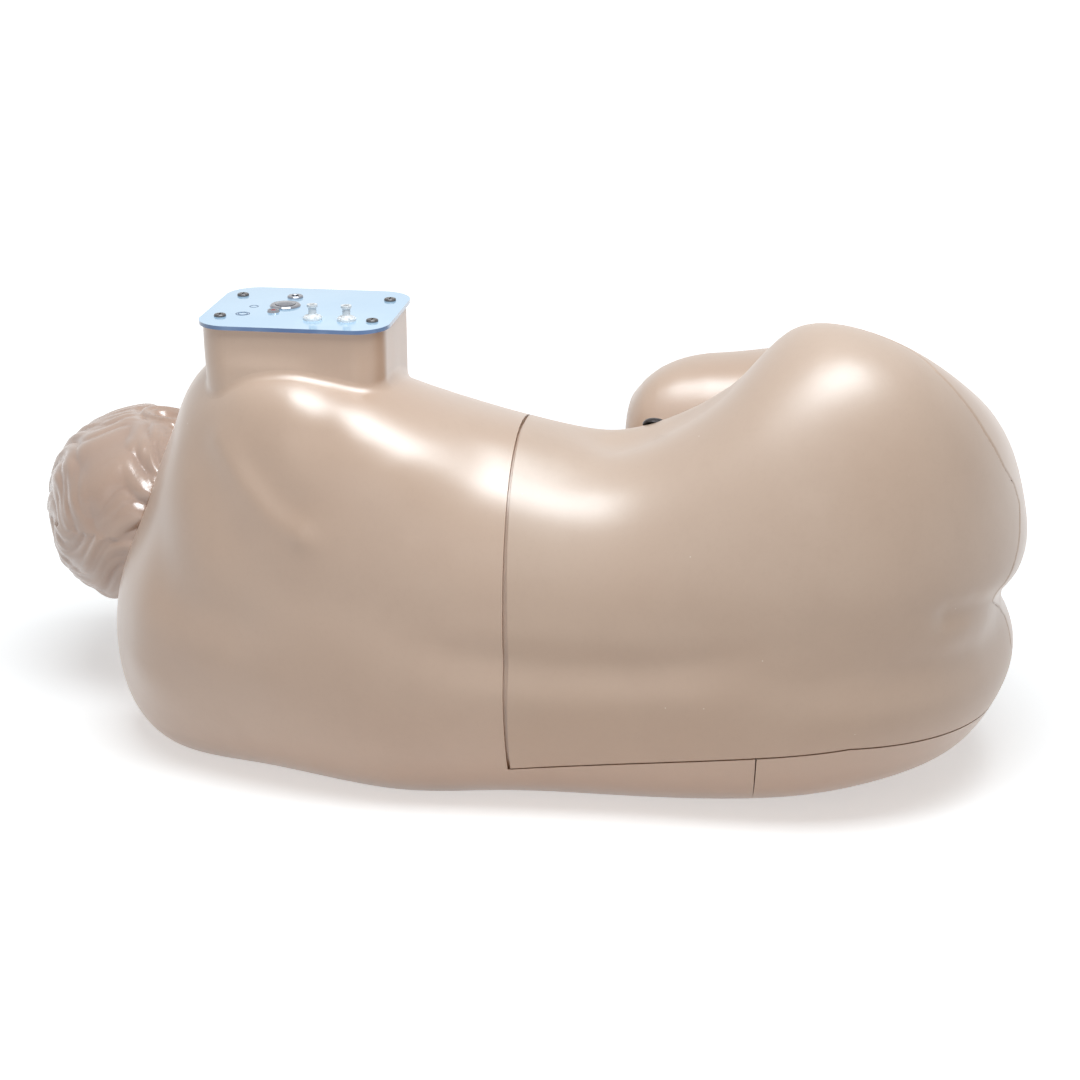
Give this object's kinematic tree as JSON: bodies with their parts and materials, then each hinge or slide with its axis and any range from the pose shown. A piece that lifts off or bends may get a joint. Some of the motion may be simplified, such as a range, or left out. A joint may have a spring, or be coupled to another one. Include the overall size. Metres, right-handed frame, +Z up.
{
  "type": "lumbar puncture simulator",
  "caption": "Curled adult torso on its left side, with a soft lower-back skin, spine module and a shoulder control panel with fluid ports.",
  "frame": {"origin": "on the flat underside, below the waist, midway between the back and the belly", "axes": "+X from the head towards the buttocks, +Y from the back towards the belly, +Z up, the side towards the viewer in the picture is -Y"},
  "size_m": [0.8174, 0.3715, 0.3846],
  "materials": {
    "body_vinyl": "satin",
    "skin_silicone": "satin",
    "panel_acrylic": "glossy",
    "steel": "satin",
    "chrome": "polished",
    "nylon_white": "satin",
    "lamp_red": "glossy",
    "box_plastic": "matte",
    "board_green": "satin",
    "battery_wrap": "glossy",
    "clear_plastic": "glossy",
    "tube_silicone": "satin",
    "lead_black": "satin",
    "bone_resin": "matte",
    "disc_rubber": "satin",
    "ligament_rubber": "satin",
    "dura_silicone": "satin",
    "tissue_silicone": "satin",
    "dark_metal": "glossy"
  },
  "bodies": {
    "torso": {"torso_shell": "body_vinyl", "pelvis_shell": "body_vinyl", "head": "body_vinyl", "lumbar_skin": "skin_silicone", "control_panel": "panel_acrylic", "panel_screws": "steel", "luer_inlet": "nylon_white", "luer_outlet": "nylon_white", "luer_nuts": "nylon_white", "button_housing": "chrome", "button_nut": "steel", "lamp_bezel": "chrome", "lamp_lens": "lamp_red", "lamp_nut": "steel", "charge_jack": "chrome", "jack_nut": "steel", "control_box": "box_plastic", "circuit_board": "board_green", "board_screws": "steel", "battery_pack": "battery_wrap", "pump_motor": "steel", "pump_head": "nylon_white", "reservoir": "clear_plastic", "fill_tube": "tube_silicone", "feed_tube": "tube_silicone", "supply_tube": "tube_silicone", "return_tube": "tube_silicone", "panel_leads": "lead_black", "battery_lead": "lead_black", "module_tray": "box_plastic", "tray_screws": "steel", "vertebra_l2": "bone_resin", "vertebra_l3": "bone_resin", "vertebra_l4": "bone_resin", "vertebra_l5": "bone_resin", "spinal_discs": "disc_rubber", "sacral_block": "bone_resin", "ligament_strip": "ligament_rubber", "dura_tube": "dura_silicone", "canal_fitting": "nylon_white", "canal_plug": "nylon_white", "puncture_block": "tissue_silicone", "snap_cap": "dark_metal", "snap_socket": "dark_metal", "snap_stud": "dark_metal"},
    "push_button": {"button_cap": "chrome"}
  },
  "joints": [
    {"name": "button_press", "type": "slide", "parent": "torso", "child": "push_button", "axis": [0, 0, -1], "range_m": [0, 0.0025]}
  ]
}
